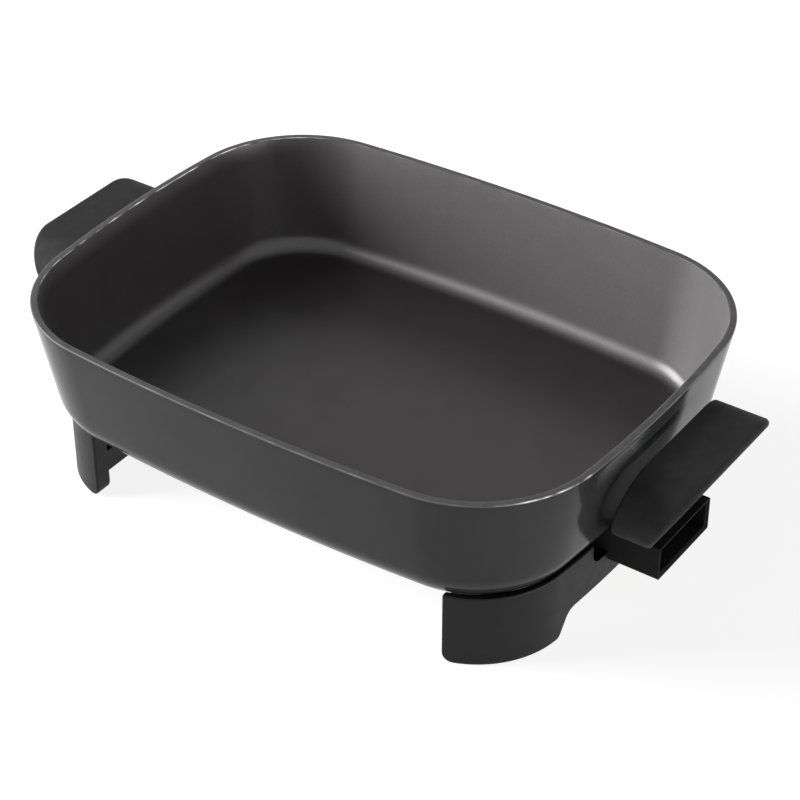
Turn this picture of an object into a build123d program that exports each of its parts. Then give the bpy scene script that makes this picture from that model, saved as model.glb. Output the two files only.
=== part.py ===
from build123d import *
import math
import os

# Deep electric griddle pan on two foot brackets, millimetres, +Z up.
# The origin is on the table under the middle of the pan, +X points to the end with the socket.

# Pan
PAN_LENGTH = 360.0
PAN_WIDTH = 280.0
PAN_HEIGHT = 78.5
RIM_HEIGHT = 115.2  # rim above the table
LONG_SIDE_RADIUS = 1450.0
SHORT_SIDE_RADIUS = 754.0
CORNER_RADIUS = 74.0
RIM_WIDTH = 4.3
RIM_ROUNDING = 0.8
WALL_DRAFT = 10.45  # degrees from vertical
FLOOR_THICKNESS = 7.0
OUTER_EDGE_RADIUS = 26.0
INNER_EDGE_RADIUS = 12.0
BOSS_RADIUS = 7.5
BOSS_HEIGHT = 7.7

# Foot brackets
RIGHT_INSET = 14.0  # outer face of the bracket inside the rim's outline
LEFT_INSET = 18.4
BRACKET_CORNER = 69.0  # corner radius, measured at the rim's outline
BRACKET_THICKNESS = 10.8
BRACKET_LIP = 8.2  # top of a bracket above the pan's underside
BAR_DROP = 21.7  # lower edge of the bar below the pan's underside
RIGHT_FOOT_LENGTH = 59.0  # foot's end behind the end of the rim
LEFT_FOOT_LENGTH = 65.0
GAP_HALF_WIDTH = 62.0  # gap under the bar, at its top
GAP_SPREAD = 8.5  # how much further apart the feet are at the table, each side
GAP_ROUNDING = 9.0
FOOT_TOE_ROUNDING = 5.0
FOOT_END_ROUNDING = 6.0
FOOT_EDGE_ROUNDING = 1.2
TOP_EDGE_ROUNDING = 1.0
EAR_FROM_SIDE = 58.0  # ear's screw behind the side of the rim
EAR_RADIUS = 8.0
EAR_THICKNESS = 13.5
SPACER_THICKNESS = 2.0
SPACER_RADIUS = 6.5

# Foot pads
PAD_THICKNESS = 3.0
PAD_PROUD = 0.4
PAD_MARGIN = 2.8  # foot left beside the pad
PAD_END_MARGIN = 7.0

# Heating element and socket
ELEMENT_DIAMETER = 7.0
ELEMENT_DROP = 1.5  # element's axis below the pan's underside
LOOP_HALF_LENGTH = 100.0
LOOP_HALF_WIDTH = 72.0
LOOP_BEND = 34.0
LEAD_BEND = 14.0
LEAD_END_FROM_RIM = 30.0  # sheath's end behind the end of the rim
PIN_SPACING = 30.0
PIN_DIAMETER = 5.0
PIN_LENGTH = 36.0
INSULATOR_DIAMETER = 8.0
INSULATOR_LENGTH = 23.0
PROBE_DROP = 1.5  # probe's axis below the pan's underside
PROBE_BORE = 6.6
PROBE_SLEEVE_DIAMETER = 9.0
PROBE_SLEEVE_LENGTH = 56.0
PROBE_SLEEVE_PROUD = 12.0  # sleeve beyond its boss
PROBE_BOSS_WIDTH = 16.0
PROBE_BOSS_WALL = 3.6
PROBE_BOSS_TAIL = 16.0  # solid part of the boss that takes the earth screw
STRIP_WIDTH = 10.0
STRIP_THICKNESS = 1.0

# Socket shroud and its counterpart on the left
SHROUD_WIDTH = 54.0
SHROUD_HEIGHT = 20.9
SHROUD_REACH = 16.0  # open face beyond the end of the rim
SHROUD_WALL = 2.2
SHROUD_WEB = 7.5  # thickness of the cross wall that carries the bushes
SHROUD_ROUNDING = 0.8
MOUTH_CHAMFER = 1.4
BASE_REACH = 9.5  # outer face of the left base beyond the end of the rim
FLANGE_WIDTH = 76.0
FLANGE_HEIGHT = 9.0
FLANGE_DROP = 12.5  # flange's lower edge below the pan's underside
FLANGE_THICKNESS = 4.0
FLANGE_ROUNDING = 3.0
NOTCH_WIDTH = 84.0  # notch in the bar's upper edge, round the shroud
NOTCH_DROP = 5.2  # notch's floor below the pan's underside
NOTCH_ROUNDING = 7.0

# Handles
GRIP_BELOW_RIM = 12.5
GRIP_THICKNESS = 7.2
GRIP_REACH = 42.6  # grip's outer edge beyond the end of the rim
GRIP_GAP = 6.7  # grip's inner edge beyond the end of the rim
GRIP_BEND = 24.0
LEG_LEAN = 53.0  # degrees from vertical
LEG_FOOT_REACH = 11.0  # leg's outer edge at its foot, beyond the end of the rim
LEG_FOOT_WIDTH = 18.4
SOLE_THICKNESS = 6.5  # strip between the two legs' feet
SOLE_BEND = 4.0
GRIP_ROUNDING = 2.8
BACK_ROUNDING = 1.5

# Fasteners
BRACKET_SCREW = 5.0
SMALL_SCREW = 4.0
HEAD_FACTOR = 1.8  # head diameter over shank diameter
HEAD_HEIGHT_FACTOR = 0.65
SOCKET_FACTOR = 0.5  # width of the drive recess over shank diameter
BRACKET_SCREW_BITE = 9.0
SHROUD_SCREW_BITE = 8.0
HANDLE_SCREW_BITE = 5.5
EARTH_SCREW_BITE = 8.0
HEAD_ROUNDING_FACTOR = 0.45  # rounding over head height
TIP_FACTOR = 0.12  # chamfer at the tip over shank diameter
EDGE_CHAMFER = 0.5

# Clearances
SEAT = 0.1
SLIP = 0.2
PAN_GAP = 0.4  # between the pan and the mouldings round it
HOLE_SLACK = 0.3
OVERSHOOT = 1.0  # how far a cutting shape runs past a face

PAN_BOTTOM = RIM_HEIGHT - PAN_HEIGHT
HALF_LENGTH = PAN_LENGTH / 2
HALF_WIDTH = PAN_WIDTH / 2
BRACKET_TOP = PAN_BOTTOM + BRACKET_LIP
BAR_BOTTOM = PAN_BOTTOM - BAR_DROP
BOSS_BOTTOM = PAN_BOTTOM - BOSS_HEIGHT
EAR_TOP = BOSS_BOTTOM - SPACER_THICKNESS
EAR_BOTTOM = EAR_TOP - EAR_THICKNESS
EAR_Y = HALF_WIDTH - EAR_FROM_SIDE
ELEMENT_Z = PAN_BOTTOM - ELEMENT_DROP
PROBE_Z = PAN_BOTTOM - PROBE_DROP
LEAD_END = HALF_LENGTH - LEAD_END_FROM_RIM
SHROUD_TOP = PAN_BOTTOM + SHROUD_HEIGHT / 2
SHROUD_BOTTOM = PAN_BOTTOM - SHROUD_HEIGHT / 2
GRIP_TOP = RIM_HEIGHT - GRIP_BELOW_RIM
FAR = 2 * PAN_LENGTH  # longer than anything here, for cutting blocks


def block(x, y, z):
    """A box from its three (low, high) pairs."""
    size = (x[1] - x[0], y[1] - y[0], z[1] - z[0])
    middle = ((x[0] + x[1]) / 2, (y[0] + y[1]) / 2, (z[0] + z[1]) / 2)
    return Pos(*middle) * Box(*size)


def upright(radius, place, low, high):
    """A cylinder along Z at a plan position."""
    return Pos(place[0], place[1], (low + high) / 2) * Cylinder(radius, high - low)


def lying(radius, y, z, low, high):
    """A cylinder along X, its seam turned off the symmetry plane."""
    return Pos((low + high) / 2, y, z) * Rot(0, 90, 0) * Rot(0, 0, 40) * Cylinder(radius, high - low)


def group(solids):
    """Separate solids under one node."""
    return Compound(children=[part.solids()[0] for part in solids])


def mirrored(part):
    return mirror(part, about=Plane.YZ)


# The pan's plan shape: bowed long and short sides, joined by tangent corner arcs
side_centre = Vector(0, HALF_WIDTH - LONG_SIDE_RADIUS)
end_centre = Vector(HALF_LENGTH - SHORT_SIDE_RADIUS, 0)


def corner_place(radius):
    """A corner arc's centre: from each side's centre, the difference of the two radii away."""
    to_side = LONG_SIDE_RADIUS - radius
    to_end = SHORT_SIDE_RADIUS - radius
    between = end_centre - side_centre
    along = (to_side**2 - to_end**2 + between.length**2) / (2 * between.length)
    across = math.sqrt(to_side**2 - along**2)
    unit = between.normalized()
    return side_centre + unit * along + Vector(unit.Y, -unit.X) * across


def plan(inset, corner):
    """The outline of sides and corners moved inwards by inset, as a face on the table."""
    centre = corner_place(corner)
    side_angle = math.degrees(math.atan2(centre.Y - side_centre.Y, centre.X))
    end_angle = math.degrees(math.atan2(centre.Y, centre.X - end_centre.X))
    long_sweep = 180 - 2 * side_angle
    corner_sweep = side_angle - end_angle
    arcs = []
    for turn in (0, 180):
        flip = -1 if turn else 1
        end_at = (flip * end_centre.X, 0)
        side_at = (0, flip * side_centre.Y)
        first_at = (flip * centre.X, flip * centre.Y)
        second_at = (-flip * centre.X, flip * centre.Y)
        end = CenterArc(end_at, SHORT_SIDE_RADIUS - inset, turn - end_angle, 2 * end_angle)
        first = CenterArc(first_at, corner - inset, turn + end_angle, corner_sweep)
        side = CenterArc(side_at, LONG_SIDE_RADIUS - inset, turn + side_angle, long_sweep)
        second = CenterArc(second_at, corner - inset, turn + 180 - side_angle, corner_sweep)
        arcs += [end, first, side, second]
    return make_face(Wire(arcs))


def prism(inset, low, high):
    """The brackets' plan shape as an upright block."""
    return extrude(Pos(0, 0, low) * plan(inset, BRACKET_CORNER), high - low)


def drafted(inset, depth, edge_radius):
    """A block under the rim plane whose walls lean in by the draft, with a rounded lower edge."""
    drawn_in = inset + depth * math.tan(math.radians(WALL_DRAFT))
    lower_outline = Pos(0, 0, RIM_HEIGHT - depth) * plan(drawn_in, CORNER_RADIUS)
    upper_outline = Pos(0, 0, RIM_HEIGHT) * plan(inset, CORNER_RADIUS)
    body = loft([lower_outline, upper_outline], ruled=True)
    lower = body.faces().sort_by(Axis.Z)[0]
    return fillet(lower.edges(), edge_radius)


def pan_outside(gap=0.0):
    """The pan's outer form, grown by a gap on its walls and underside."""
    spread = gap / math.cos(math.radians(WALL_DRAFT))
    return drafted(-spread, PAN_HEIGHT + gap, OUTER_EDGE_RADIUS + gap)


def screw(shank, length):
    """A pan-head screw along Z, its seat at the origin and its shank pointing up."""
    head_radius = shank * HEAD_FACTOR / 2
    head_height = shank * HEAD_HEIGHT_FACTOR
    head = Pos(0, 0, -head_height / 2) * Cylinder(head_radius, head_height)
    head = fillet(head.edges().sort_by(Axis.Z)[0], head_height * HEAD_ROUNDING_FACTOR)
    recess_width = shank * SOCKET_FACTOR
    recess = Pos(0, 0, -head_height) * extrude(RegularPolygon(recess_width / 2, 6), head_height / 2)
    body = head + Pos(0, 0, length / 2) * Cylinder(shank / 2, length)
    body = chamfer(body.edges().sort_by(Axis.Z)[-1], shank * TIP_FACTOR)
    return body - recess


right_ear_x = HALF_LENGTH - RIGHT_FOOT_LENGTH + EAR_RADIUS
left_ear_x = HALF_LENGTH - LEFT_FOOT_LENGTH + EAR_RADIUS
boss_places = [(x, y) for x in (right_ear_x, -left_ear_x) for y in (EAR_Y, -EAR_Y)]
pin_places = [PIN_SPACING / 2, -PIN_SPACING / 2]

# Heating element: one bent tube, its two ends side by side at the socket
lead = LOOP_HALF_WIDTH - PIN_SPACING / 2
loop_bend = min(LOOP_BEND, lead * 0.65, LOOP_HALF_LENGTH * 0.9)
lead_bend = min(LEAD_BEND, lead * 0.3)
route = [
    (LEAD_END, PIN_SPACING / 2),
    (LOOP_HALF_LENGTH, PIN_SPACING / 2),
    (LOOP_HALF_LENGTH, LOOP_HALF_WIDTH),
    (-LOOP_HALF_LENGTH, LOOP_HALF_WIDTH),
    (-LOOP_HALF_LENGTH, -LOOP_HALF_WIDTH),
    (LOOP_HALF_LENGTH, -LOOP_HALF_WIDTH),
    (LOOP_HALF_LENGTH, -PIN_SPACING / 2),
    (LEAD_END, -PIN_SPACING / 2),
]
bends = [lead_bend, loop_bend, loop_bend, loop_bend, loop_bend, lead_bend]
element_path = FilletPolyline(*[(x, y, ELEMENT_Z) for x, y in route], radius=bends)
element_start = Plane((LEAD_END, PIN_SPACING / 2, ELEMENT_Z), z_dir=(-1, 0, 0))


def tube_along(radius):
    """A round bar along the element's route."""
    return sweep(element_start * Circle(radius), path=element_path)


heating_element = tube_along(ELEMENT_DIAMETER / 2)

# Probe sleeve, in a boss cast under the pan between the element's ends
sleeve_end = LEAD_END + PROBE_SLEEVE_PROUD
sleeve_start = sleeve_end - PROBE_SLEEVE_LENGTH
probe_sleeve = lying(PROBE_SLEEVE_DIAMETER / 2, 0, PROBE_Z, sleeve_start, sleeve_end)
probe_sleeve = chamfer(probe_sleeve.edges(), EDGE_CHAMFER)
probe_sleeve -= lying(PROBE_BORE / 2, 0, PROBE_Z, sleeve_start + PROBE_BOSS_WALL, sleeve_end)
boss_start = sleeve_start - PROBE_BOSS_TAIL
boss_bottom = PROBE_Z - PROBE_SLEEVE_DIAMETER / 2 - PROBE_BOSS_WALL

# Pan: outer form less the cavity, with bosses for the screws and a groove for the element
pan = pan_outside() - drafted(RIM_WIDTH, PAN_HEIGHT - FLOOR_THICKNESS, INNER_EDGE_RADIUS)
rim_face = pan.faces().sort_by(Axis.Z)[-1]
pan = fillet(rim_face.edges(), RIM_ROUNDING)
boss_root = PAN_BOTTOM + FLOOR_THICKNESS / 3
probe_boss = block(
    (boss_start, LEAD_END),
    (-PROBE_BOSS_WIDTH / 2, PROBE_BOSS_WIDTH / 2),
    (boss_bottom, boss_root),
)
boss_corners = probe_boss.edges().filter_by(Axis.X).group_by(Axis.Z)[0]
boss_corners += probe_boss.edges().filter_by(Axis.Z).group_by(Axis.X)[0]
probe_boss = fillet(boss_corners, PROBE_BOSS_WIDTH / 4)
pan += probe_boss
boss_hole_top = BOSS_BOTTOM + BRACKET_SCREW_BITE + HOLE_SLACK
for place in boss_places:
    pan += upright(BOSS_RADIUS, place, BOSS_BOTTOM, boss_root)
    pan -= upright(BRACKET_SCREW / 2 + SEAT, place, BOSS_BOTTOM - OVERSHOOT, boss_hole_top)
pan -= tube_along(ELEMENT_DIAMETER / 2 + SEAT)
pan -= lying(PROBE_SLEEVE_DIAMETER / 2 + SEAT, 0, PROBE_Z, sleeve_start, FAR)
for y in pin_places:
    pan -= lying(INSULATOR_DIAMETER / 2 + SLIP, y, ELEMENT_Z, LEAD_END, HALF_LENGTH)
earth_x = boss_start + PROBE_BOSS_TAIL / 2
earth_hole_top = boss_bottom + EARTH_SCREW_BITE + HOLE_SLACK
pan -= upright(SMALL_SCREW / 2 + SEAT, (earth_x, 0), boss_bottom - OVERSHOOT, earth_hole_top)

# Terminal pins in their ceramic bushes, in line with the element's ends
terminal_pins = []
terminal_insulators = []
for y in pin_places:
    pin = lying(PIN_DIAMETER / 2, y, ELEMENT_Z, LEAD_END, LEAD_END + PIN_LENGTH)
    terminal_pins.append(fillet(pin.edges().sort_by(Axis.X)[-1], PIN_DIAMETER * 0.3))
    bush = lying(INSULATOR_DIAMETER / 2, y, ELEMENT_Z, LEAD_END, LEAD_END + INSULATOR_LENGTH)
    bush = chamfer(bush.edges().sort_by(Axis.X)[-1], EDGE_CHAMFER)
    bore = lying(PIN_DIAMETER / 2 + SEAT, y, ELEMENT_Z, LEAD_END, LEAD_END + INSULATOR_LENGTH)
    terminal_insulators.append(bush - bore)

# Foot bracket: a band that follows the pan's plan shape, cut away under the bar and round the pan
foot_bottom = PAD_PROUD
toe = GAP_HALF_WIDTH + GAP_SPREAD
underside = FilletPolyline(
    (-FAR, foot_bottom),
    (-toe, foot_bottom),
    (-GAP_HALF_WIDTH, BAR_BOTTOM),
    (GAP_HALF_WIDTH, BAR_BOTTOM),
    (toe, foot_bottom),
    (FAR, foot_bottom),
    radius=[FOOT_TOE_ROUNDING, GAP_ROUNDING, GAP_ROUNDING, FOOT_TOE_ROUNDING],
)
topside = Polyline((FAR, foot_bottom), (FAR, BRACKET_TOP), (-FAR, BRACKET_TOP), (-FAR, foot_bottom))
side_view = make_face(Plane.YZ * Curve(children=[underside, topside]))


def band(inset, margin, low, high):
    """The wall between a bracket's two faces, less a margin on each."""
    outer = prism(inset + margin, low, high)
    inner = prism(inset + BRACKET_THICKNESS - margin, low, high)
    return outer - inner


def foot_pad(inset, length, flip_y, slack):
    """A strip in the underside of one foot."""
    strip = band(inset, PAD_MARGIN - slack, -slack, PAD_THICKNESS + slack)
    start = HALF_LENGTH - length + PAD_END_MARGIN - slack
    stop = toe + PAD_END_MARGIN - slack
    reach = sorted((flip_y * stop, flip_y * FAR))
    return strip & block((start, FAR), reach, (-FAR, FAR))


def shroud_notch():
    """The shallow notch in a bar's upper edge and the close slot that the shroud runs through."""
    half = NOTCH_WIDTH / 2
    notch = block((0, FAR), (-half, half), (PAN_BOTTOM - NOTCH_DROP, FAR))
    lower_edges = notch.edges().filter_by(Axis.X).group_by(Axis.Z)[0]
    notch = fillet(lower_edges, NOTCH_ROUNDING)
    side = SHROUD_WIDTH / 2 + SLIP
    return notch + block((0, FAR), (-side, side), (SHROUD_BOTTOM - SEAT, FAR))


def foot_bracket(inset, length):
    """One bracket at the +X end, with its ears, pad recesses and notch."""
    foot_end = HALF_LENGTH - length
    end_room = block((foot_end, FAR), (-FAR, FAR), (0, FAR))
    end_edges = end_room.edges().filter_by(Axis.Y).group_by(Axis.X)[0]
    end_room = fillet(end_edges.sort_by(Axis.Z)[0], FOOT_END_ROUNDING)
    outer = prism(inset, 0, BRACKET_TOP)
    outer = fillet(outer.faces().sort_by(Axis.Z)[-1].edges(), TOP_EDGE_ROUNDING)
    bracket = outer - prism(inset + BRACKET_THICKNESS, 0, BRACKET_TOP) & end_room
    end_faces = bracket.faces().filter_by(Plane.YZ).group_by(Axis.X)[0]
    bracket = fillet(end_faces.edges().filter_by(Axis.Z), FOOT_EDGE_ROUNDING)
    bracket &= extrude(side_view, FAR)
    ear_x = foot_end + EAR_RADIUS
    for flip_y in (1, -1):
        outward = sorted((flip_y * EAR_Y, flip_y * FAR))
        arm = block((foot_end, ear_x + EAR_RADIUS), outward, (EAR_BOTTOM, EAR_TOP))
        ear = arm & prism(inset + BRACKET_THICKNESS / 2, EAR_BOTTOM, EAR_TOP)
        bracket += ear + upright(EAR_RADIUS, (ear_x, flip_y * EAR_Y), EAR_BOTTOM, EAR_TOP)
    for flip_y in (1, -1):
        place = (ear_x, flip_y * EAR_Y)
        bracket -= upright(BRACKET_SCREW / 2 + HOLE_SLACK, place, 0, EAR_TOP + OVERSHOOT)
        bracket -= foot_pad(inset, length, flip_y, SEAT)
    return bracket - pan_outside(PAN_GAP) - shroud_notch()


foot_bracket_right = foot_bracket(RIGHT_INSET, RIGHT_FOOT_LENGTH)
foot_bracket_left = foot_bracket(LEFT_INSET, LEFT_FOOT_LENGTH)


def flanged_box(inset, mouth):
    """A box that runs out through a bar's slot, with a flange against the bar's inner face."""
    bar_inside = HALF_LENGTH - inset - BRACKET_THICKNESS
    back = bar_inside - FLANGE_THICKNESS
    box = block((back, mouth), (-SHROUD_WIDTH / 2, SHROUD_WIDTH / 2), (SHROUD_BOTTOM, SHROUD_TOP))
    box = fillet(box.edges().filter_by(Axis.X), SHROUD_ROUNDING)
    flange_low = PAN_BOTTOM - FLANGE_DROP
    flange = block(
        (back, bar_inside + OVERSHOOT),
        (-FLANGE_WIDTH / 2, FLANGE_WIDTH / 2),
        (flange_low, flange_low + FLANGE_HEIGHT),
    )
    flange = fillet(flange.edges().filter_by(Axis.X), FLANGE_ROUNDING)
    flange &= prism(inset + BRACKET_THICKNESS + SEAT, 0, RIM_HEIGHT)
    return box + flange - pan_outside(PAN_GAP)


# Socket shroud: the box at the right, open to the plug in front and to the bushes behind
shroud_mouth = HALF_LENGTH + SHROUD_REACH
shroud_floor = HALF_LENGTH - RIGHT_INSET + SHROUD_WEB
web_back = HALF_LENGTH - RIGHT_INSET
inside_y = (-SHROUD_WIDTH / 2 + SHROUD_WALL, SHROUD_WIDTH / 2 - SHROUD_WALL)
inside_low = SHROUD_BOTTOM + SHROUD_WALL
inside_high = SHROUD_TOP - SHROUD_WALL
shroud = flanged_box(RIGHT_INSET, shroud_mouth)
shroud -= block((shroud_floor, FAR), inside_y, (inside_low, inside_high))
mouth_face = shroud.faces().sort_by(Axis.X)[-1]
shroud = chamfer(mouth_face.inner_wires()[0].edges(), MOUTH_CHAMFER)
shroud -= block((0, web_back), inside_y, (inside_low, FAR))
for y in pin_places:
    shroud -= lying(INSULATOR_DIAMETER / 2 + SLIP, y, ELEMENT_Z, 0, shroud_floor + OVERSHOOT)
shroud -= lying(PROBE_SLEEVE_DIAMETER / 2 + SLIP, 0, PROBE_Z, 0, shroud_floor + OVERSHOOT)

# Earth strip: from the probe's boss under the pan, up into the shroud and along its lower wall
strip_low = boss_bottom - STRIP_THICKNESS
strip_high = inside_low + SLIP
strip_end = shroud_floor + STRIP_WIDTH
strip_line = [
    (boss_start, strip_low),
    (LEAD_END, strip_low),
    (web_back - SLIP, strip_high),
    (strip_end, strip_high),
]
strip_outline = strip_line + [(x, z + STRIP_THICKNESS) for x, z in reversed(strip_line)]
strip_face = make_face(Plane.XZ * Polyline(*strip_outline, close=True))
earth_strip = Pos(0, STRIP_WIDTH / 2, 0) * extrude(strip_face, STRIP_WIDTH)
strip_hole_top = boss_bottom + OVERSHOOT
earth_strip -= upright(SMALL_SCREW / 2 + HOLE_SLACK, (earth_x, 0), strip_low - OVERSHOOT, strip_hole_top)
earth_screw = Pos(earth_x, 0, strip_low) * screw(SMALL_SCREW, STRIP_THICKNESS + EARTH_SCREW_BITE)
strip_room = (-STRIP_WIDTH / 2 - SLIP, STRIP_WIDTH / 2 + SLIP)
strip_top = strip_high + STRIP_THICKNESS + SLIP
shroud -= block((0, shroud_floor + OVERSHOOT), strip_room, (inside_low, strip_top))
shroud -= block((0, web_back), strip_room, (0, inside_low + OVERSHOOT))

# Left base: the same box, closed at its face and open below
base_mouth = HALF_LENGTH + BASE_REACH
base_left = flanged_box(LEFT_INSET, base_mouth)
base_left -= block((shroud_floor, base_mouth - SHROUD_WALL), inside_y, (0, inside_high))

# Screws that pull both flanges against the bars, from behind
screw_y = (SHROUD_WIDTH + FLANGE_WIDTH) / 4
screw_z = PAN_BOTTOM - FLANGE_DROP + FLANGE_HEIGHT / 2


def flange_screws(inset):
    """The two screws of one flange and the shapes of their holes in the flange and the bar."""
    back = HALF_LENGTH - inset - BRACKET_THICKNESS - FLANGE_THICKNESS
    tip = back + FLANGE_THICKNESS + SHROUD_SCREW_BITE
    screws = []
    clear = Part()
    blind = Part()
    for y in (screw_y, -screw_y):
        screws.append(Pos(back, y, screw_z) * Rot(0, 90, 0) * screw(SMALL_SCREW, tip - back))
        clear += lying(SMALL_SCREW / 2 + HOLE_SLACK, y, screw_z, 0, tip)
        blind += lying(SMALL_SCREW / 2 + SEAT, y, screw_z, 0, tip + HOLE_SLACK)
    return screws, clear, blind


shroud_screws, shroud_clear, bar_blind_right = flange_screws(RIGHT_INSET)
base_screws, base_clear, bar_blind_left = flange_screws(LEFT_INSET)
shroud -= shroud_clear
base_left -= base_clear
foot_bracket_right -= bar_blind_right
foot_bracket_left -= bar_blind_left

# Handle: a strap bent into a wide loop on top of the box, closed below by a sole
lean = math.radians(LEG_LEAN)
leg_foot = SHROUD_WIDTH / 2


def arch(foot, low, top, bend):
    """The upright shape across the handle, wider at the top than at the foot."""
    spread = foot + (top - low) * math.tan(lean)
    legs = FilletPolyline((-foot, low), (-spread, top), (spread, top), (foot, low), radius=bend)
    foot_line = Line((foot, low), (-foot, low))
    return extrude(Plane.YZ * make_face(Curve(children=[legs, foot_line])), FAR)


finger_low = SHROUD_TOP + SOLE_THICKNESS
finger_foot = leg_foot - GRIP_THICKNESS / math.cos(lean) + SOLE_THICKNESS * math.tan(lean)
finger_top = GRIP_TOP - GRIP_THICKNESS
leg_toe = HALF_LENGTH + LEG_FOOT_REACH
side_shape = Plane.XZ * Polyline(
    (leg_toe, SHROUD_TOP),
    (HALF_LENGTH + GRIP_REACH, GRIP_TOP),
    (HALF_LENGTH + GRIP_GAP, GRIP_TOP),
    (leg_toe - LEG_FOOT_WIDTH, SHROUD_TOP),
    close=True,
)
handle = arch(leg_foot, SHROUD_TOP, GRIP_TOP, GRIP_BEND)
handle &= extrude(make_face(side_shape), FAR, both=True)
finger_hole = arch(finger_foot, finger_low, finger_top, GRIP_BEND - GRIP_THICKNESS)
sole_edges = finger_hole.edges().filter_by(Axis.X).group_by(Axis.Z)[0]
handle -= fillet(sole_edges, SOLE_BEND)
for along, rounding in ((-1, GRIP_ROUNDING), (0, BACK_ROUNDING)):
    upright_faces = handle.faces().filter_by(lambda face: abs(face.normal_at().X) > 0.5)
    rim_edges = upright_faces.sort_by(Axis.X)[along].edges()
    handle = fillet(rim_edges - rim_edges.sort_by(Axis.Z)[:1], rounding)

# Countersunk screws through the shroud's upper wall into the handle's legs
head_room = SMALL_SCREW * HEAD_FACTOR / 2 + HOLE_SLACK
handle_screw_x = (shroud_floor + leg_toe) / 2
handle_screw_y = SHROUD_WIDTH / 2 - SHROUD_WALL - head_room
head_seat = SHROUD_TOP - SHROUD_WALL
sunk_height = SMALL_SCREW * (HEAD_FACTOR - 1) / 2
sunk_tip = SHROUD_TOP + HANDLE_SCREW_BITE
handle_screws = []
for y in (handle_screw_y, -handle_screw_y):
    place = (handle_screw_x, y)
    cone = Pos(*place, head_seat + sunk_height / 2)
    cone *= Cone(SMALL_SCREW * HEAD_FACTOR / 2, SMALL_SCREW / 2, sunk_height)
    room = Pos(*place, head_seat + sunk_height / 2)
    room *= Cone(head_room, SMALL_SCREW / 2 + HOLE_SLACK, sunk_height)
    room += upright(SMALL_SCREW / 2 + HOLE_SLACK, place, head_seat, SHROUD_TOP + OVERSHOOT)
    shroud -= room
    base_left -= room
    handle -= upright(SMALL_SCREW / 2 + SEAT, place, SHROUD_TOP - OVERSHOOT, sunk_tip + HOLE_SLACK)
    handle_screws.append(cone + upright(SMALL_SCREW / 2, place, head_seat, sunk_tip))

# Fixings of the brackets: a screw and a spacer at each ear
def ear_fixings(x):
    """The two screws and the two spacers of one bracket."""
    length = EAR_THICKNESS + SPACER_THICKNESS + BRACKET_SCREW_BITE
    screws = []
    spacers = []
    for y in (EAR_Y, -EAR_Y):
        screws.append(Pos(x, y, EAR_BOTTOM) * screw(BRACKET_SCREW, length))
        ring = upright(SPACER_RADIUS, (x, y), EAR_TOP, BOSS_BOTTOM)
        bore = upright(BRACKET_SCREW / 2 + HOLE_SLACK, (x, y), EAR_TOP - OVERSHOOT, BOSS_BOTTOM + OVERSHOOT)
        spacers.append(ring - bore)
    return screws, spacers


screws_right, spacers_right = ear_fixings(right_ear_x)
screws_left, spacers_left = ear_fixings(-left_ear_x)

nodes = {
    "pan": pan,
    "heating_element": heating_element,
    "terminal_pins": group(terminal_pins),
    "terminal_insulators": group(terminal_insulators),
    "probe_sleeve": probe_sleeve,
    "earth_strip": earth_strip,
    "earth_screw": earth_screw,
    "socket_shroud": shroud,
    "handle_base_left": mirrored(base_left),
    "shroud_screws": group(shroud_screws),
    "base_screws_left": group([mirrored(part) for part in base_screws]),
    "handle_right": handle,
    "handle_left": mirrored(handle),
    "handle_screws_right": group(handle_screws),
    "handle_screws_left": group([mirrored(part) for part in handle_screws]),
    "foot_bracket_right": foot_bracket_right,
    "foot_bracket_left": mirrored(foot_bracket_left),
    "bracket_screws_right": group(screws_right),
    "bracket_screws_left": group(screws_left),
    "bracket_spacers_right": group(spacers_right),
    "bracket_spacers_left": group(spacers_left),
    "foot_pad_front_right": foot_pad(RIGHT_INSET, RIGHT_FOOT_LENGTH, -1, 0),
    "foot_pad_rear_right": foot_pad(RIGHT_INSET, RIGHT_FOOT_LENGTH, 1, 0),
    "foot_pad_front_left": mirrored(foot_pad(LEFT_INSET, LEFT_FOOT_LENGTH, -1, 0)),
    "foot_pad_rear_left": mirrored(foot_pad(LEFT_INSET, LEFT_FOOT_LENGTH, 1, 0)),
}
os.makedirs("parts", exist_ok=True)
for name, part in nodes.items():
    export_step(part, f"parts/{name}.step")
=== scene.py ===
import math

import bpy
import numpy as np
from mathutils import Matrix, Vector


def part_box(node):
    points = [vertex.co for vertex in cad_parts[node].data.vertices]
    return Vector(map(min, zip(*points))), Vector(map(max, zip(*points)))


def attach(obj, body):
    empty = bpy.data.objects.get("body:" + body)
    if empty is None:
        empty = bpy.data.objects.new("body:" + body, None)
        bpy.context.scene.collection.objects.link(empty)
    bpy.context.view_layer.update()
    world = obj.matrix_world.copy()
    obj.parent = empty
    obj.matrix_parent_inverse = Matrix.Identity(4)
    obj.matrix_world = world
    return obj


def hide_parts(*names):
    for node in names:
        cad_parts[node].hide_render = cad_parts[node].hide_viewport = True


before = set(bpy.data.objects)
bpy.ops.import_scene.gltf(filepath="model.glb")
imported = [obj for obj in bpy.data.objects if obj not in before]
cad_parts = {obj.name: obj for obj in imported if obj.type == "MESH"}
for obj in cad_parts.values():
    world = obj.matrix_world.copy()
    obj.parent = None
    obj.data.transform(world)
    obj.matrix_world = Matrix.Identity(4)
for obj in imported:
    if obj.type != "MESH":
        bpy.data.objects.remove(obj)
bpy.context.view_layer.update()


# Pan: one aluminium casting with walls that lean out, a narrow rounded rim and wide fillets inside
# and outside along its lower edges. The sizes are those of the casting, in metres, and its height is
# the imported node's.
mm = 0.001
rim_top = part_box("pan")[1][2]
half_length, half_width = 180 * mm, 140 * mm
end_radius, side_radius, corner_radius = 754 * mm, 1450 * mm, 74 * mm
pan_depth, floor_thickness = 78.5 * mm, 7 * mm
rim_width, rim_rounding = 4.3 * mm, 0.8 * mm
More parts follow.
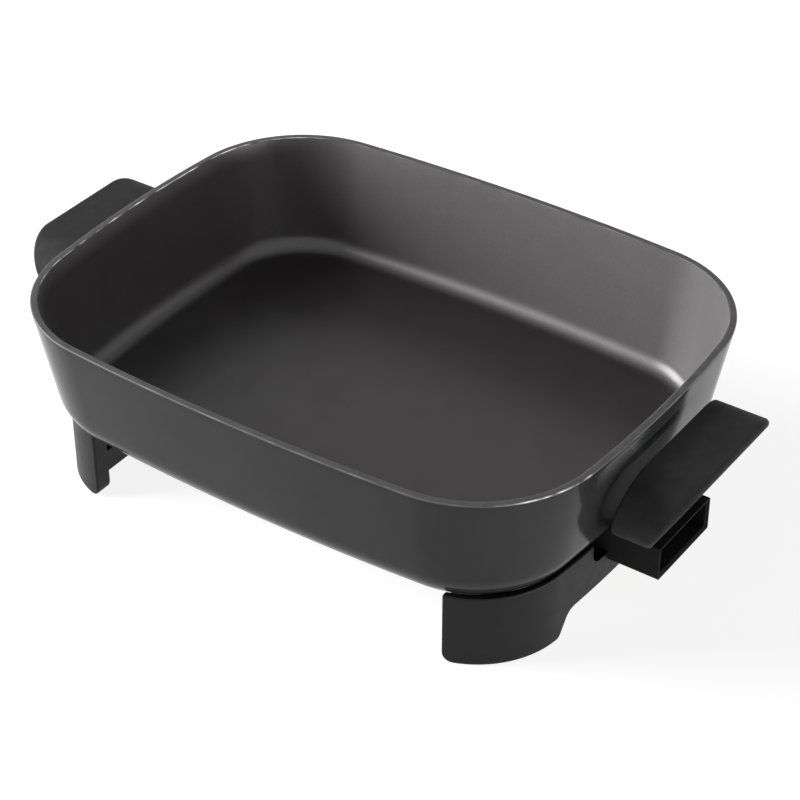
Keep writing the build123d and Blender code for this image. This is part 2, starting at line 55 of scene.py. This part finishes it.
outer_fillet, inner_fillet = 26 * mm, 12 * mm
draft = math.radians(10.45)
fillet_steps, rounding_steps, wall_steps, floor_rings = 20, 9, 12, 5


def plan_samples(per_end, per_corner, per_side):
    """Centre, radius and angle of points round the plan shape: end, corner, long side, corner, twice.

    A corner arc touches an end arc and a side arc from inside, so its centre lies where the circles
    of radius (end - corner) and (side - corner) about their centres meet."""
    end_at = np.array((half_length - end_radius, 0.0))
    side_at = np.array((0.0, half_width - side_radius))
    to_end, to_side = end_radius - corner_radius, side_radius - corner_radius
    apart = np.linalg.norm(end_at - side_at)
    along = (to_side**2 - to_end**2 + apart**2) / (2 * apart)
    across = math.sqrt(to_side**2 - along**2)
    way = (end_at - side_at) / apart
    corner_at = side_at + way * along + np.array((way[1], -way[0])) * across
    end_angle = math.atan2(corner_at[1], corner_at[0] - end_at[0])
    side_angle = math.atan2(corner_at[1] - side_at[1], corner_at[0])
    mirrored_at = corner_at * (-1, 1)
    half_turn = (
        (end_at, end_radius, -end_angle, end_angle, per_end),
        (corner_at, corner_radius, end_angle, side_angle, per_corner),
        (side_at, side_radius, side_angle, math.pi - side_angle, per_side),
        (mirrored_at, corner_radius, math.pi - side_angle, math.pi - end_angle, per_corner),
    )
    centres, radii, angles = [], [], []
    for turn in (0, 1):
        for centre, radius, start, stop, count in half_turn:
            centres.append(np.tile(centre * (-1) ** turn, (count, 1)))
            radii.append(np.full(count, radius))
            angles.append(np.linspace(start, stop, count, endpoint=False) + math.pi * turn)
    return np.concatenate(centres), np.concatenate(radii), np.concatenate(angles)


def arc(centre, radius, start, stop, steps):
    """Points of a circular arc in the (inset, height) plane, angles in radians."""
    turn = np.linspace(start, stop, steps)
    return np.column_stack((centre[0] + radius * np.cos(turn), centre[1] + radius * np.sin(turn)))


def risen(flat_rings, heights):
    """Flat rings of (x, y) points, each lifted to its own height."""
    levels = np.broadcast_to(heights[:, None, None], (*flat_rings.shape[:2], 1))
    return np.concatenate((flat_rings, levels), axis=-1)


def ring_mesh(name, rings, first_pole, last_pole):
    """A closed mesh from a grid of points whose rows are rings, with a pole point closing each end.

    Each grid cell is one quad of (row, column), (row, column + 1), (row + 1, column + 1) and
    (row + 1, column), and the last column runs on to the first. A fan of triangles joins each pole
    to the ring beside it. The quads come first, row by row, then the two fans."""
    rows, columns = rings.shape[:2]
    index = np.arange(rows * columns).reshape(rows, columns)
    index = np.concatenate((index, index[:, :1]), axis=1)
    quads = np.stack((index[:-1, :-1], index[:-1, 1:], index[1:, 1:], index[1:, :-1]), axis=-1)
    first, last = np.full(columns, rows * columns), np.full(columns, rows * columns + 1)
    first_fan = np.column_stack((first, index[0, 1:], index[0, :-1]))
    last_fan = np.column_stack((last, index[-1, :-1], index[-1, 1:]))
    places = np.concatenate((rings.reshape(-1, 3), (first_pole, last_pole)))
    faces = quads.reshape(-1, 4).tolist() + first_fan.tolist() + last_fan.tolist()
    mesh = bpy.data.meshes.new(name)
    mesh.from_pydata(places.tolist(), [], faces)
    mesh.polygons.foreach_set("use_smooth", np.ones(len(mesh.polygons), bool))
    mesh.update()
    return mesh


def placed(name, mesh):
    """A new piece on the pan's body."""
    piece = bpy.data.objects.new(name, mesh)
    bpy.context.scene.collection.objects.link(piece)
    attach(piece, "root")
    return piece


up, down = math.pi / 2, -math.pi / 2
# A wall and a level face meet at a blunt angle. Per unit of its radius, a rounding starts this far
# from where they would meet.
blunt_reach = math.tan((math.pi / 2 - draft) / 2)
underside = rim_top - pan_depth
floor_top = underside + floor_thickness
outer_foot = pan_depth * math.tan(draft) + outer_fillet * blunt_reach
inner_depth = pan_depth - floor_thickness
inner_foot = rim_width + inner_depth * math.tan(draft) + inner_fillet * blunt_reach
outer_at = (outer_foot, underside + outer_fillet)
inner_at = (inner_foot, floor_top + inner_fillet)
rim_out_at = (rim_rounding / blunt_reach, rim_top - rim_rounding)
rim_in_at = (rim_width - rim_rounding * blunt_reach, rim_top - rim_rounding)
outside = arc(outer_at, outer_fillet, down, draft - math.pi, fillet_steps)
rim_out = arc(rim_out_at, rim_rounding, math.pi + draft, up, rounding_steps)
rim_in = arc(rim_in_at, rim_rounding, up, draft, rounding_steps)
inside = arc(inner_at, inner_fillet, draft - math.pi, down, fillet_steps)
wall = np.linspace(0, 1, wall_steps + 2)[1:-1, None]
outer_wall = outside[-1] + wall * (rim_out[0] - outside[-1])
inner_wall = rim_in[-1] + wall * (inside[0] - rim_in[-1])
profile = np.concatenate((outside, outer_wall, rim_out, rim_in, inner_wall, inside))
centres, radii, angles = plan_samples(per_end=36, per_corner=40, per_side=48)
heading = np.column_stack((np.cos(angles), np.sin(angles)))
skin = risen(centres + (radii - profile[:, :1])[..., None] * heading, profile[:, 1])
inwards = np.linspace(1, 0, floor_rings + 2)[1:-1, None, None] * (1, 1, 0) + (0, 0, 1)
below = skin[0] * inwards[::-1]
above = skin[-1] * inwards
shell = np.concatenate((below, skin, above))
pan_mesh = ring_mesh("pan_shell", shell, (0, 0, underside), (0, 0, floor_top))
pan_shell = placed("pan_shell", pan_mesh)
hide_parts("pan")


# Rim edges: bare bright metal in broken runs on the rim's roundings, most on the inner edge
# at the left end and on the outer edge at the right. This is partly wear and partly painted
# highlight: the runs are placed by facing, where the rim catches glints.
def wear_and_glint_share(facing, reach, least):
    """How much bare metal an edge shows at each point of the ring, as wear and painted highlight:
    a least share all round, raised to 1 at one facing by a cosine lobe that ends at the reach on
    both sides."""
    off = (angles - facing) / reach
    return least + (1 - least) * np.cos(off * math.pi / 2) * (np.abs(off) < 1)


out_row = len(below) + len(outside) + len(outer_wall)
in_row = out_row + len(rim_out)
wall_row = in_row + len(rim_in)
across_edge = np.sin(np.linspace(0, math.pi, rounding_steps))[:, None] ** 2
# Painted highlight and wear: the outer runs face the right front, the inner runs the left end.
outer_wear_and_glint = wear_and_glint_share(facing=math.radians(340), reach=math.radians(34), least=0.1)
inner_wear_and_glint = wear_and_glint_share(facing=math.radians(165), reach=math.radians(60), least=0.12)
wear_and_glint = np.zeros(shell.shape[:2])
wear_and_glint[out_row:in_row] = across_edge * outer_wear_and_glint
wear_and_glint[in_row:wall_row] = across_edge * inner_wear_and_glint
edge_values = pan_mesh.attributes.new("wear_and_glint", "FLOAT", "POINT")
edge_values.data.foreach_set("value", np.append(wear_and_glint.ravel(), (0, 0)))


# Coats: the casting is sprayed and baked, smooth and dark outside and duller over the rim. The inside
# has a grained grey non-stick coat. On the floor it is painted darker, as painted shade, and its
# specular level is lower there.
def noise(tree, scale, detail):
    """Noise on Object coordinates."""
    place = tree.nodes.new("ShaderNodeTexCoord")
    node = tree.nodes.new("ShaderNodeTexNoise")
    node.inputs["Scale"].default_value = scale
    node.inputs["Detail"].default_value = detail
    tree.links.new(place.outputs["Object"], node.inputs["Vector"])
    return node.outputs["Fac"]


def carried(tree, value, start, stop, low, high, easing="LINEAR"):
    """A value that runs from start to stop, carried to low to high and held between them."""
    node = tree.nodes.new("ShaderNodeMapRange")
    node.interpolation_type = easing
    node.inputs["From Min"].default_value = start
    node.inputs["From Max"].default_value = stop
    node.inputs["To Min"].default_value = low
    node.inputs["To Max"].default_value = high
    tree.links.new(value, node.inputs["Value"])
    return node.outputs["Result"]


def patches(tree, scale, detail, low, high):
    """Noise with the middle of its range, 0.3 to 0.7, stretched to low to high."""
    return carried(tree, noise(tree, scale, detail), start=0.3, stop=0.7, low=low, high=high)


def joined(tree, operation, first, second):
    """Two values joined by one step of arithmetic, held between 0 and 1."""
    node = tree.nodes.new("ShaderNodeMath")
    node.operation = operation
    node.use_clamp = True
    tree.links.new(first, node.inputs[0])
    tree.links.new(second, node.inputs[1])
    return node.outputs["Value"]


def place_along(tree, axis):
    """The X, Y or Z of Object coordinates."""
    place = tree.nodes.new("ShaderNodeTexCoord")
    split = tree.nodes.new("ShaderNodeSeparateXYZ")
    tree.links.new(place.outputs["Object"], split.inputs["Vector"])
    return split.outputs[axis]


def shader_of(material):
    """The node that a finish's colour, roughness and grain go into."""
    return material.node_tree.nodes["Principled BSDF"]


def finish(
    name, dark, light, tone_scale, gloss, gloss_scale, grain_scale, grain, metal=0.0, sheen=0.5
):
    """A material whose colour varies by noise from dark to light and its roughness over gloss, with a
    fine bump."""
    material = bpy.data.materials.new(name)
    material.use_nodes = True
    tree = material.node_tree
    shader = shader_of(material)
    shader.inputs["Metallic"].default_value = metal
    shader.inputs["Specular IOR Level"].default_value = sheen
    mix = tree.nodes.new("ShaderNodeMix")
    mix.data_type = "RGBA"
    mix.inputs["A"].default_value = (*dark, 1)
    mix.inputs["B"].default_value = (*light, 1)
    tree.links.new(patches(tree, tone_scale, detail=4, low=0, high=1), mix.inputs["Factor"])
    tree.links.new(mix.outputs["Result"], shader.inputs["Base Color"])
    roughness = patches(tree, gloss_scale, detail=3, low=gloss[0], high=gloss[1])
    tree.links.new(roughness, shader.inputs["Roughness"])
    bump = tree.nodes.new("ShaderNodeBump")
    bump.inputs["Distance"].default_value = grain
    bump.inputs["Strength"].default_value = 0.6
    tree.links.new(noise(tree, grain_scale, detail=2), bump.inputs["Height"])
    tree.links.new(bump.outputs["Normal"], shader.inputs["Normal"])
    return material


def recolour(material, value, colour):
    """Mixes a finish's colour towards another by a 0 to 1 value."""
    tree = material.node_tree
    base = shader_of(material).inputs["Base Color"]
    mix = tree.nodes.new("ShaderNodeMix")
    mix.data_type = "RGBA"
    tree.links.new(base.links[0].from_socket, mix.inputs["A"])
    mix.inputs["B"].default_value = (*colour, 1)
    tree.links.new(value, mix.inputs["Factor"])
    tree.links.new(mix.outputs["Result"], base)


outer_coat = finish(
    "outer_coat", dark=(0.023, 0.023, 0.0234), light=(0.029, 0.029, 0.0294), tone_scale=25,
    gloss=(0.13, 0.17), gloss_scale=40, grain_scale=900, grain=0.006 * mm, sheen=0.18,
)
shader_of(outer_coat).inputs["IOR"].default_value = 1.31

rim_coat = finish(
    "rim_coat", dark=(0.044, 0.044, 0.045), light=(0.066, 0.066, 0.067), tone_scale=120,
    gloss=(0.42, 0.72), gloss_scale=70, grain_scale=1500, grain=0.01 * mm, sheen=0.4,
)
bright_metal_and_glint = (0.80, 0.80, 0.81)
rim_tree = rim_coat.node_tree
wear_and_glint_input = rim_tree.nodes.new("ShaderNodeAttribute")
wear_and_glint_input.attribute_name = "wear_and_glint"
broken_runs = patches(rim_tree, scale=70, detail=2, low=-0.4, high=1.6)
bared_and_glinting = joined(rim_tree, "MULTIPLY", wear_and_glint_input.outputs["Fac"], broken_runs)
# Painted highlight and wear: the runs are coloured bright metal and made metallic.
recolour(rim_coat, bared_and_glinting, bright_metal_and_glint)
rim_tree.links.new(bared_and_glinting, shader_of(rim_coat).inputs["Metallic"])

wall_sheen, floor_sheen = 0.6, 0.38
inner_coat = finish(
    "inner_coat", dark=(0.115, 0.108, 0.110), light=(0.150, 0.142, 0.145), tone_scale=1500,
    gloss=(0.28, 0.36), gloss_scale=60, grain_scale=1100, grain=0.04 * mm, sheen=wall_sheen,
)
# Painted shade: the inside turns to a dark colour on the floor, standing in for the shade there.
floor_shade_colour = (0.020, 0.0165, 0.018)
all_floor, all_wall = floor_top + 0.2 * mm, floor_top + 3.5 * mm
inner_tree = inner_coat.node_tree
height = place_along(inner_tree, "Z")
floor_share = carried(inner_tree, height, all_wall, all_floor, 0, 1, "SMOOTHSTEP")
recolour(inner_coat, floor_share, floor_shade_colour)
inner_sheen = carried(inner_tree, floor_share, 0, 1, wall_sheen, floor_sheen)
inner_tree.links.new(inner_sheen, shader_of(inner_coat).inputs["Specular IOR Level"])

for coat in (outer_coat, rim_coat, inner_coat):
    pan_mesh.materials.append(coat)
outer_index, rim_index, inner_index = range(3)
inner_from = wall_row - 1
row_coats = np.full(len(shell) - 1, outer_index)
row_coats[out_row:inner_from] = rim_index
row_coats[inner_from:] = inner_index
face_coats = np.repeat((*row_coats, outer_index, inner_index), len(angles)).astype(np.int32)
pan_mesh.polygons.foreach_set("material_index", face_coats)


# Bosses under the pan, cast with it: four round ones that the foot brackets' ears are screwed up to.
# Each has a chamfered lower edge and a root that flares into the pan's underside.
def turned(profile, place, steps):
    """Rings of a lathe profile of (radius, height) about an upright axis at a plan place."""
    turn = np.linspace(0, 2 * math.pi, steps, endpoint=False)
    ring = np.column_stack((np.cos(turn), np.sin(turn)))
    return risen(np.array(place) + profile[:, :1, None] * ring, profile[:, 1])


spacer_radius, boss_radius, boss_flare, boss_chamfer = 6.5 * mm, 7.5 * mm, 2.5 * mm, 0.5 * mm
buried = 1 * mm
edge_steps = 8
flare_at = (boss_radius + boss_flare, underside - boss_flare)
boss_root = arc(flare_at, boss_flare, math.pi, up, edge_steps)
boss_head = boss_root[-1:] + (0, buried)
for end in ("right", "left"):
    spacer_low, spacer_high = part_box(f"bracket_spacers_{end}")
    boss_x = (spacer_low[0] + spacer_high[0]) / 2
    boss_y = spacer_high[1] - spacer_radius
    seat = spacer_high[2]
    chamfer = np.array(((boss_radius - boss_chamfer, seat), (boss_radius, seat + boss_chamfer)))
    boss_profile = np.concatenate((chamfer, boss_root, boss_head))
    for depth, side in (("front", -1), ("rear", 1)):
        place = (boss_x, side * boss_y)
        boss_rings = turned(boss_profile, place, steps=48)
        boss_mesh = ring_mesh("pan_boss", boss_rings, (*place, seat), (*place, underside + buried))
        boss_mesh.materials.append(outer_coat)
        placed(f"pan_boss_{end}_{depth}", boss_mesh)


# Probe boss: a long rounded lump on the pan's underside, cast with it, bored along for the sleeve
# that takes the heat control's probe. It lies between the element's two leads.
def rounded_bar(x_range, half, corner, profile, per_corner):
    """Rings of a rounded rectangle, drawn in by each profile row's inset at that row's height.

    The ring is four quarter circles of the corner radius less the inset about the corner centres."""
    quarter = np.linspace(0, math.pi / 2, per_corner)
    turn = (quarter + np.arange(4)[:, None] * math.pi / 2).ravel()
    signs = np.repeat(((1, 1), (-1, 1), (-1, -1), (1, -1)), per_corner, axis=0)
    reach = np.array(((x_range[1] - x_range[0]) / 2 - corner, half - corner))
    middle = np.array((sum(x_range) / 2, 0.0))
    heading = np.column_stack((np.cos(turn), np.sin(turn)))
    flat_rings = middle + signs * reach + (corner - profile[:, :1, None]) * heading
    return risen(flat_rings, profile[:, 1])


bar_x = (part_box("earth_strip")[0][0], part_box("heating_element")[1][0])
bar_half, bar_corner, bar_edge, bar_flare = 8 * mm, 4 * mm, 2 * mm, 1.5 * mm
wall_under_sleeve = 3.6 * mm
bar_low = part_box("probe_sleeve")[0][2] - wall_under_sleeve
bar_high = underside + buried
lower_edge = arc((bar_edge, bar_low + bar_edge), bar_edge, down, -math.pi, edge_steps)
neck = np.array(((0.0, underside - bar_flare), (-bar_flare, underside), (-bar_flare, bar_high)))
bar_profile = np.concatenate((lower_edge, neck))
bar_rings = rounded_bar(bar_x, bar_half, bar_corner, bar_profile, per_corner=9)
bar_middle = sum(bar_x) / 2
bar_mesh = ring_mesh("probe_boss", bar_rings, (bar_middle, 0, bar_low), (bar_middle, 0, bar_high))
bar_mesh.materials.append(outer_coat)
placed("probe_boss", bar_mesh)


# Probe sleeve: a drawn aluminium tube pressed into its boss, which guides the heat control's probe.
# Its end stands in the socket, bare and a little dull.
def wear(material, *names):
    """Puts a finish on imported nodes."""
    for name in names:
        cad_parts[name].data.materials.clear()
        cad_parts[name].data.materials.append(material)


aluminium = finish(
    "bare_aluminium", dark=(0.56, 0.56, 0.57), light=(0.66, 0.66, 0.67), tone_scale=200,
    gloss=(0.30, 0.42), gloss_scale=300, grain_scale=1600, grain=0.01 * mm, metal=1,
)
wear(aluminium, "probe_sleeve")


# Heating element: a steel sheath packed with oxide, bent to a loop and let into a groove in the pan's
# underside. Heat has tinted the sheath brown in places.
sheath = finish(
    "element_sheath", dark=(0.20, 0.17, 0.15), light=(0.34, 0.32, 0.30), tone_scale=60,
    gloss=(0.32, 0.46), gloss_scale=200, grain_scale=900, grain=0.02 * mm, metal=1,
)
wear(sheath, "heating_element")


# Terminals: two nickel-plated brass pins on the element's cold ends, each led through the socket's
# cross wall in a fired ceramic bush.
plated = finish(
    "dark_nickel", dark=(0.20, 0.19, 0.18), light=(0.28, 0.27, 0.25), tone_scale=120,
    gloss=(0.30, 0.42), gloss_scale=300, grain_scale=1800, grain=0.01 * mm, metal=1,
)
wear(plated, "terminal_pins")
ceramic = finish(
    "fired_ceramic", dark=(0.66, 0.63, 0.56), light=(0.76, 0.73, 0.67), tone_scale=250,
    gloss=(0.55, 0.7), gloss_scale=200, grain_scale=3000, grain=0.03 * mm,
)
wear(ceramic, "terminal_insulators")


# Earth strip: a folded brass strip that earths the pan through the socket. One zinc-plated screw
# holds it to the casting.
brass = finish(
    "plain_brass", dark=(0.58, 0.42, 0.18), light=(0.68, 0.51, 0.24), tone_scale=120,
    gloss=(0.24, 0.36), gloss_scale=300, grain_scale=1800, grain=0.01 * mm, metal=1,
)
wear(brass, "earth_strip")
zinc = finish(
    "zinc_plate", dark=(0.46, 0.46, 0.45), light=(0.58, 0.58, 0.58), tone_scale=300,
    gloss=(0.25, 0.38), gloss_scale=400, grain_scale=2000, grain=0.01 * mm, metal=1,
)
wear(zinc, "earth_screw")


# Foot brackets: a curved bar with a foot at each end under each end of the pan, moulded in black
# phenolic with a satin skin. Screws through pressed-fibre spacers hold them up to the pan's bosses.
def moulded_black(name, darkest, lightest, gloss, sheen):
    """The finish of a black phenolic moulding, an even grey from darkest to lightest."""
    return finish(
        name, dark=(darkest,) * 3, light=(lightest,) * 3, tone_scale=90,
        gloss=gloss, gloss_scale=150, grain_scale=2600, grain=0.02 * mm, sheen=sheen,
    )


bracket_black = moulded_black(
    "bracket_black", darkest=0.005, lightest=0.008, gloss=(0.40, 0.48), sheen=0.17
)
wear(bracket_black, "foot_bracket_right", "foot_bracket_left")
fibre = finish(
    "pressed_fibre", dark=(0.13, 0.09, 0.06), light=(0.20, 0.15, 0.10), tone_scale=500,
    gloss=(0.75, 0.9), gloss_scale=300, grain_scale=2500, grain=0.06 * mm,
)
wear(fibre, "bracket_spacers_right", "bracket_spacers_left")
wear(zinc, "bracket_screws_right", "bracket_screws_left")


# Foot pads: four rubber pads let into the feet, moulded with a dull, slightly grained skin. They keep
# the hard feet from sliding.
rubber = finish(
    "pad_rubber", dark=(0.020, 0.020, 0.020), light=(0.032, 0.032, 0.032), tone_scale=200,
    gloss=(0.7, 0.85), gloss_scale=200, grain_scale=2200, grain=0.05 * mm,
)
wear(rubber, "foot_pad_front_right", "foot_pad_rear_right")
wear(rubber, "foot_pad_front_left", "foot_pad_rear_left")


# Socket box and left base: black phenolic mouldings let into the bars, each screwed to its bar by a
# flange behind. The right one is open at its end for the heat control, and its mouth is
# painted near-black inside as painted shade.
handle_black = moulded_black(
    "handle_black", darkest=0.008, lightest=0.0115, gloss=(0.72, 0.82), sheen=0.25
)
wear(handle_black, "handle_base_left")
socket_black = moulded_black(
    "socket_black", darkest=0.007, lightest=0.010, gloss=(0.72, 0.82), sheen=0.14
)


def between(tree, axis, low, high):
    """1 between two places along an axis of Object coordinates, otherwise 0."""
    within = tree.nodes.new("ShaderNodeMath")
    within.operation = "COMPARE"
    within.inputs[1].default_value = (low + high) / 2
    within.inputs[2].default_value = (high - low) / 2
    tree.links.new(place_along(tree, axis), within.inputs[0])
    return within.outputs["Value"]


shroud_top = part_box("socket_shroud")[1][2]
shroud_half, shroud_height, shroud_land = 27 * mm, 20.9 * mm, 0.8 * mm
mouth_half = shroud_half - shroud_land
mouth_low, mouth_high = shroud_top - shroud_height + shroud_land, shroud_top - shroud_land
# Painted shade: the inside of the socket's mouth is coloured near-black, in place of its shade.
mouth_shade_black = (0.0012, 0.0012, 0.0012)
socket_tree = socket_black.node_tree
mouth_width = between(socket_tree, "Y", -mouth_half, mouth_half)
mouth_height = between(socket_tree, "Z", mouth_low, mouth_high)
mouth = joined(socket_tree, "MULTIPLY", mouth_width, mouth_height)
recolour(socket_black, mouth, mouth_shade_black)
wear(socket_black, "socket_shroud")
wear(zinc, "shroud_screws", "base_screws_left")


# Handles: a looped strap each side in the same matt moulding, a flat grip on two leaning legs with a
# sole between them, screwed down from inside the box or the base.
wear(handle_black, "handle_right", "handle_left")
wear(zinc, "handle_screws_right", "handle_screws_left")


# Studio: a pale floor, a white surround, one large soft lamp on the left and a low, dim one on the
# right. The camera stands where the photograph's did.
floor_half = 6.0
floor_corners = floor_half * np.array(((-1, -1, 0), (1, -1, 0), (1, 1, 0), (-1, 1, 0)))
floor_mesh = bpy.data.meshes.new("floor")
floor_mesh.from_pydata(floor_corners.tolist(), [], [(0, 1, 2, 3)])
floor = bpy.data.objects.new("floor", floor_mesh)
bpy.context.scene.collection.objects.link(floor)
pale = bpy.data.materials.new("pale_floor")
pale.use_nodes = True
pale_shader = shader_of(pale)
pale_shader.inputs["Base Color"].default_value = (0.35, 0.35, 0.35, 1)
pale_shader.inputs["Roughness"].default_value = 0.95
pale_shader.inputs["Specular IOR Level"].default_value = 0.0
pale_shader.inputs["Emission Color"].default_value = (1, 1, 1, 1)
pale_shader.inputs["Emission Strength"].default_value = 0.86
floor_mesh.materials.append(pale)

world = bpy.data.worlds.new("studio")
bpy.context.scene.world = world
world.use_nodes = True
world_tree = world.node_tree
background = world_tree.nodes["Background"]
background.inputs["Color"].default_value = (1, 1, 1, 1)
lighting_strength, seen_strength = 0.12, 1.0
path = world_tree.nodes.new("ShaderNodeLightPath")
seen = joined(world_tree, "MAXIMUM", path.outputs["Is Camera Ray"], path.outputs["Is Glossy Ray"])
strength = carried(world_tree, seen, 0, 1, lighting_strength, seen_strength)
world_tree.links.new(strength, background.inputs["Strength"])


def lamp(name, place, target, width, height, power):
    """A rectangular area lamp that looks at a point."""
    data = bpy.data.lights.new(name, "AREA")
    data.shape = "RECTANGLE"
    data.size = width
    data.size_y = height
    data.energy = power
    item = bpy.data.objects.new(name, data)
    item.location = place
    way = np.subtract(target, place)
    tilt = math.atan2(math.hypot(way[0], way[1]), -way[2])
    item.rotation_euler = (tilt, 0, math.atan2(-way[0], way[1]))
    bpy.context.scene.collection.objects.link(item)


lamp("key", place=(-2.2, -1.05, 1.0), target=(0, 0, 0.05), width=1.8, height=1.8, power=150)
lamp("fill", place=(2.2, 0.0, 0.1), target=(0.15, 0, 0.08), width=1.6, height=0.16, power=32)

looking_down, turned_left = 35.768, 34.773
eye = bpy.data.cameras.new("eye")
eye.lens = 106.73
eye.sensor_width = 36.0
camera = bpy.data.objects.new("eye", eye)
camera.location = (0.63018, -0.89017, 0.83242)
camera.rotation_euler = (math.radians(90 - looking_down), 0, math.radians(turned_left))
bpy.context.scene.collection.objects.link(camera)
bpy.context.scene.camera = camera
bpy.context.scene.view_settings.view_transform = "Standard"
